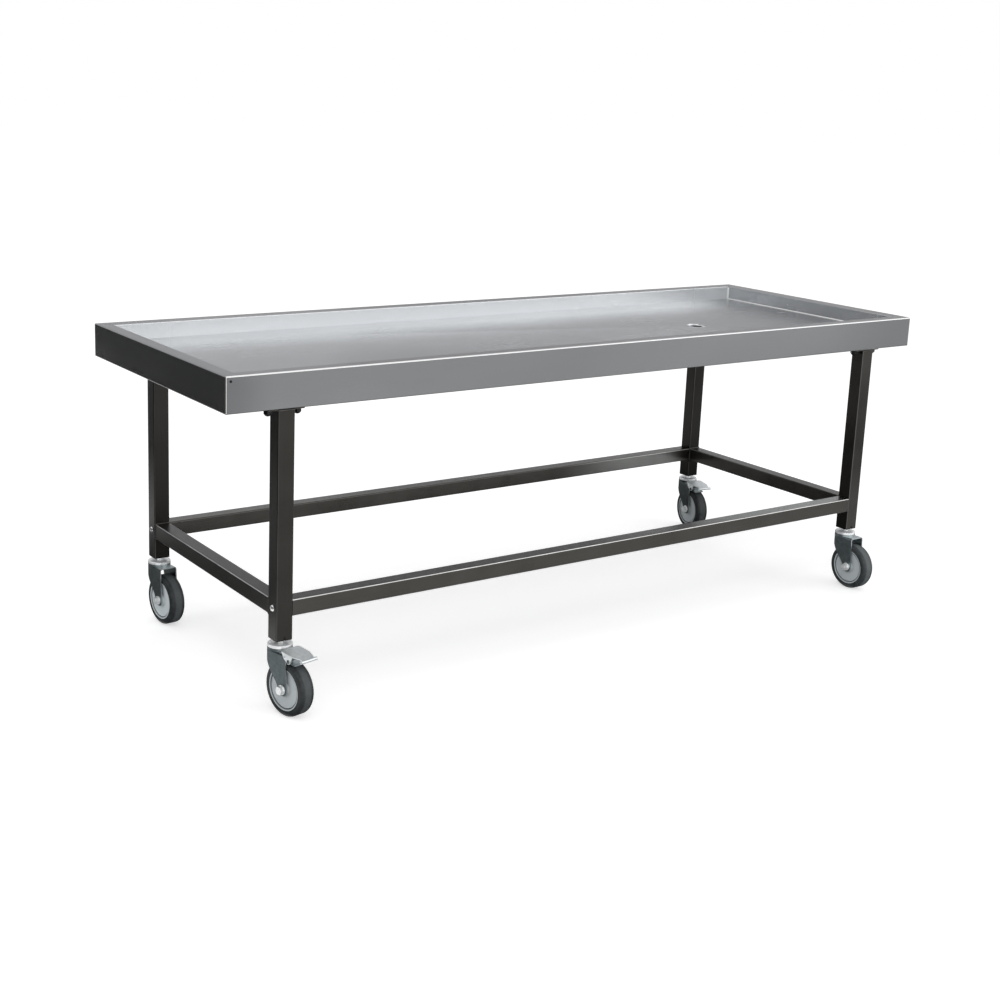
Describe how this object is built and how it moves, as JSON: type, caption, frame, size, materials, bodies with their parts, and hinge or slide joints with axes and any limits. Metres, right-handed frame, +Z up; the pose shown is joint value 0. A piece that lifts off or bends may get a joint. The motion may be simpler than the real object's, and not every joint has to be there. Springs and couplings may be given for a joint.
{
  "type": "dissection table",
  "caption": "Stainless dissection table: rimmed, drained basin on a square-tube frame with swivel casters, part of them braked.",
  "frame": {"origin": "on the floor under the middle of the whole outline, wheels included", "axes": "+X along the table towards its drain end, +Y towards its back, +Z up"},
  "size_m": [2.1, 0.7896, 0.765],
  "materials": {
    "tray_sheet": "brushed stainless sheet, satin",
    "channel_sheet": "folded stainless sheet, mill finish",
    "frame_tube": "polished stainless square tube",
    "drain_steel": "turned stainless",
    "bright_fastener": "bright stainless",
    "dark_fastener": "unpolished stainless, dark",
    "zinc_bright": "bright zinc plate",
    "zinc_fork": "blue zinc plate on pressed steel",
    "zinc_pedal": "zinc plate on pressed steel",
    "ball_steel": "polished ball steel",
    "wheel_plastic": "light grey moulded nylon",
    "tread_rubber": "dark grey thermoplastic rubber",
    "gasket_rubber": "black rubber"
  },
  "bodies": {
    "frame": {"tray": "tray_sheet", "left_channel": "channel_sheet", "right_channel": "channel_sheet", "tray_bolts": "dark_fastener", "drain_flange": "drain_steel", "drain_strainer": "drain_steel", "drain_gasket": "gasket_rubber", "drain_backnut": "drain_steel", "front_left_leg": "frame_tube", "front_left_plate": "frame_tube", "front_left_insert": "dark_fastener", "front_right_leg": "frame_tube", "front_right_plate": "frame_tube", "front_right_insert": "dark_fastener", "back_left_leg": "frame_tube", "back_left_plate": "frame_tube", "back_left_insert": "dark_fastener", "back_right_leg": "frame_tube", "back_right_plate": "frame_tube", "back_right_insert": "dark_fastener", "front_rail": "frame_tube", "back_rail": "frame_tube", "left_rail": "frame_tube", "right_rail": "frame_tube", "rail_plugs": "zinc_bright", "rail_bolts": "bright_fastener", "front_left_head": "zinc_bright", "front_right_head": "zinc_bright", "back_left_head": "zinc_bright", "back_right_head": "zinc_bright"},
    "front_left_swivel": {"front_left_balls": "ball_steel", "front_left_fork": "zinc_fork", "front_left_axle": "zinc_bright", "front_left_bush": "zinc_bright", "front_left_pedal_pin": "zinc_bright"},
    "front_left_rolling": {"front_left_wheel": "wheel_plastic", "front_left_tread": "tread_rubber"},
    "front_left_brake": {"front_left_pedal": "zinc_pedal", "front_left_shoe": "zinc_fork"},
    "front_right_swivel": {"front_right_balls": "ball_steel", "front_right_fork": "zinc_fork", "front_right_axle": "zinc_bright", "front_right_bush": "zinc_bright"},
    "front_right_rolling": {"front_right_wheel": "wheel_plastic", "front_right_tread": "tread_rubber"},
    "back_left_swivel": {"back_left_balls": "ball_steel", "back_left_fork": "zinc_fork", "back_left_axle": "zinc_bright", "back_left_bush": "zinc_bright"},
    "back_left_rolling": {"back_left_wheel": "wheel_plastic", "back_left_tread": "tread_rubber"},
    "back_right_swivel": {"back_right_balls": "ball_steel", "back_right_fork": "zinc_fork", "back_right_axle": "zinc_bright", "back_right_bush": "zinc_bright", "back_right_pedal_pin": "zinc_bright"},
    "back_right_rolling": {"back_right_wheel": "wheel_plastic", "back_right_tread": "tread_rubber"},
    "back_right_brake": {"back_right_pedal": "zinc_pedal", "back_right_shoe": "zinc_fork"}
  },
  "joints": [
    {"name": "front_left_swivel_turn", "type": "hinge", "parent": "frame", "child": "front_left_swivel", "pos_m": [-0.902, -0.29215, 0.1495], "axis": [0, 0, 1], "continuous": true},
    {"name": "front_left_wheel_spin", "type": "hinge", "parent": "front_left_swivel", "child": "front_left_rolling", "pos_m": [-0.89472, -0.32639, 0.0625], "axis": [0.9781, 0.2079, 0], "continuous": true},
    {"name": "front_left_pedal_press", "type": "hinge", "parent": "front_left_swivel", "child": "front_left_brake", "pos_m": [-0.89202, -0.3391, 0.1415], "axis": [0.9781, 0.2079, 0], "range_deg": [0, 12]},
    {"name": "front_right_swivel_turn", "type": "hinge", "parent": "frame", "child": "front_right_swivel", "pos_m": [0.902, -0.29215, 0.1495], "axis": [0, 0, 1], "continuous": true},
    {"name": "front_right_wheel_spin", "type": "hinge", "parent": "front_right_swivel", "child": "front_right_rolling", "pos_m": [0.902, -0.32715, 0.0625], "axis": [1, 0, 0], "continuous": true},
    {"name": "back_left_swivel_turn", "type": "hinge", "parent": "frame", "child": "back_left_swivel", "pos_m": [-0.902, 0.36185, 0.1495], "axis": [0, 0, 1], "continuous": true},
    {"name": "back_left_wheel_spin", "type": "hinge", "parent": "back_left_swivel", "child": "back_left_rolling", "pos_m": [-0.89834, 0.32704, 0.0625], "axis": [0.9945, 0.1045, 0], "continuous": true},
    {"name": "back_right_swivel_turn", "type": "hinge", "parent": "frame", "child": "back_right_swivel", "pos_m": [0.902, 0.36185, 0.1495], "axis": [0, 0, 1], "continuous": true},
    {"name": "back_right_wheel_spin", "type": "hinge", "parent": "back_right_swivel", "child": "back_right_rolling", "pos_m": [0.89592, 0.32738, 0.0625], "axis": [0.9848, -0.1736, 0], "continuous": true},
    {"name": "back_right_pedal_press", "type": "hinge", "parent": "back_right_swivel", "child": "back_right_brake", "pos_m": [0.89367, 0.31458, 0.1415], "axis": [0.9848, -0.1736, 0], "range_deg": [0, 12]}
  ]
}
